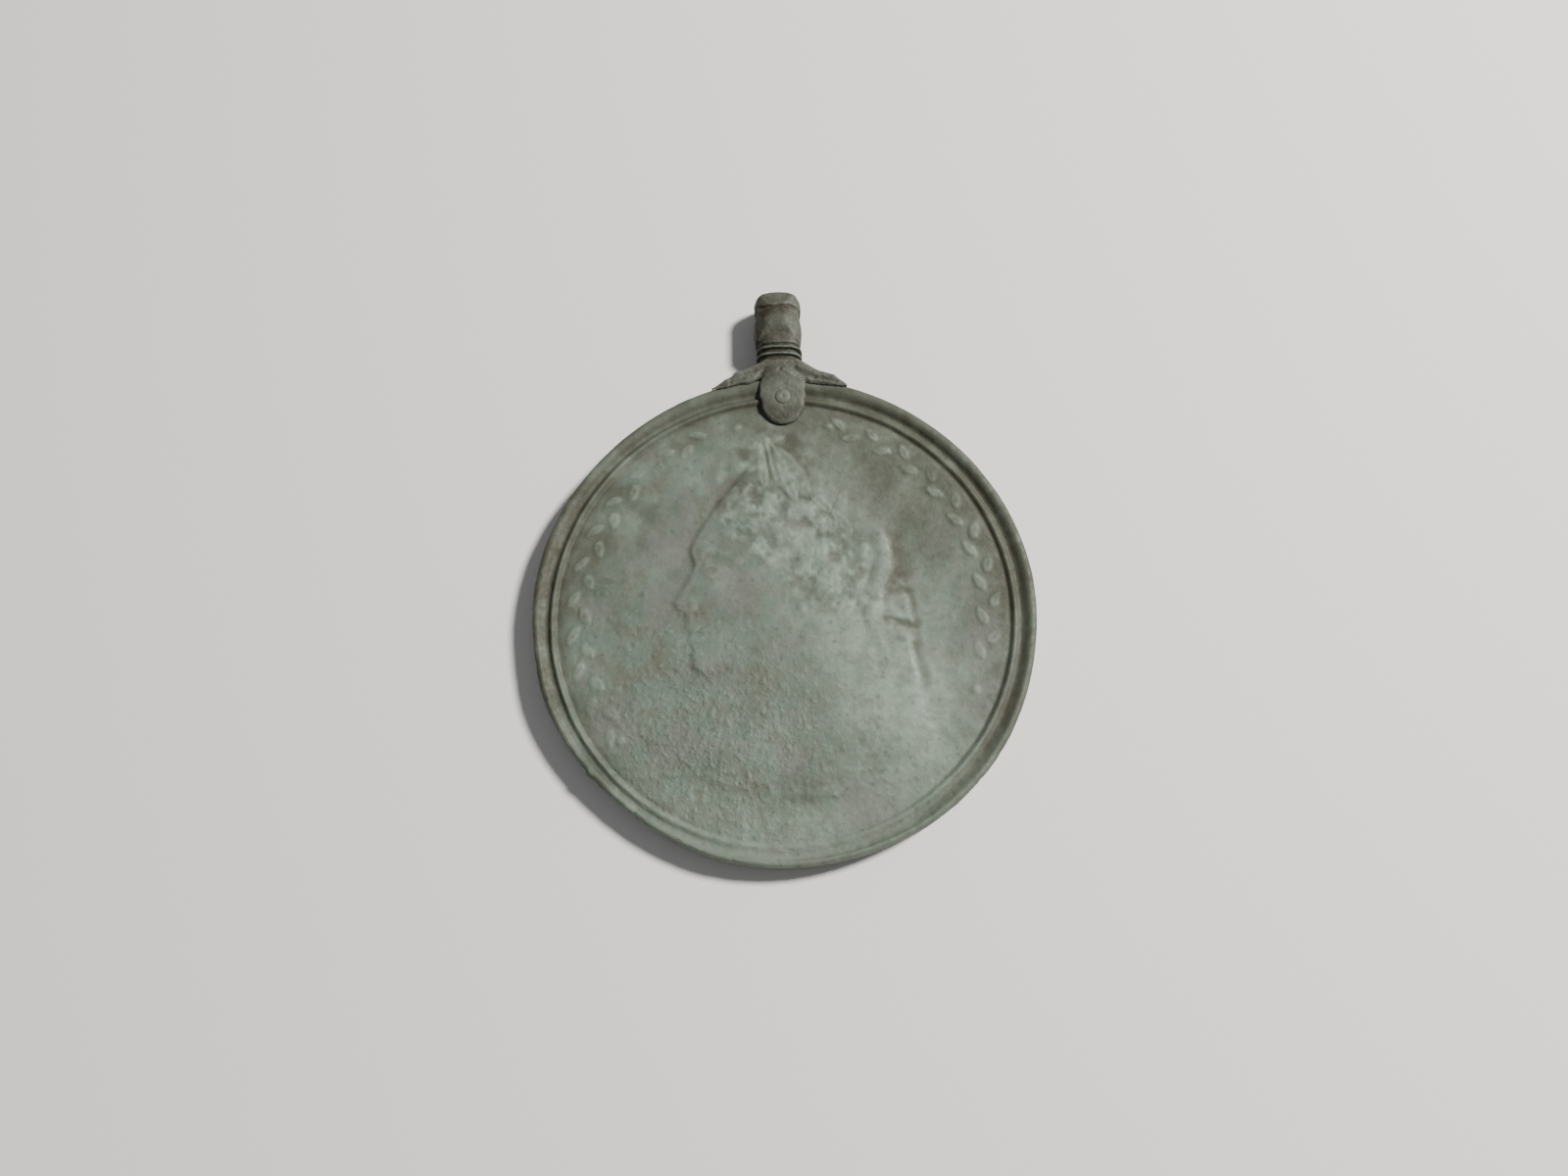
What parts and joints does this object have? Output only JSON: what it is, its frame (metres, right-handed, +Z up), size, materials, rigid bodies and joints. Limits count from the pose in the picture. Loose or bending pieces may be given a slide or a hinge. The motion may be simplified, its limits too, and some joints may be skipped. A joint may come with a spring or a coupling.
{
  "type": "peace medal",
  "caption": "Worn cast round medal with a low wreathed bust, a rolled rim, and a claw and loop pinned over its top edge; it lies face up.",
  "frame": {"origin": "middle of the lying medal's outline, on the surface that it rests on", "axes": "+Z up through the face, +Y from the disc to the loop, +X to the right as the face is seen"},
  "size_m": [0.045, 0.0544, 0.004],
  "materials": {
    "disc_metal": "matte oxidised pewter, grey with a green cast, paler on the high places",
    "suspender_metal": "matte oxidised pewter, darker and browner, worn paler on the edges",
    "rivet_metal": "matte oxidised pewter, rubbed flush"
  },
  "bodies": {
    "root": {"medal_disc": "disc_metal", "suspender": "suspender_metal", "rivet": "rivet_metal"}
  },
  "joints": []
}
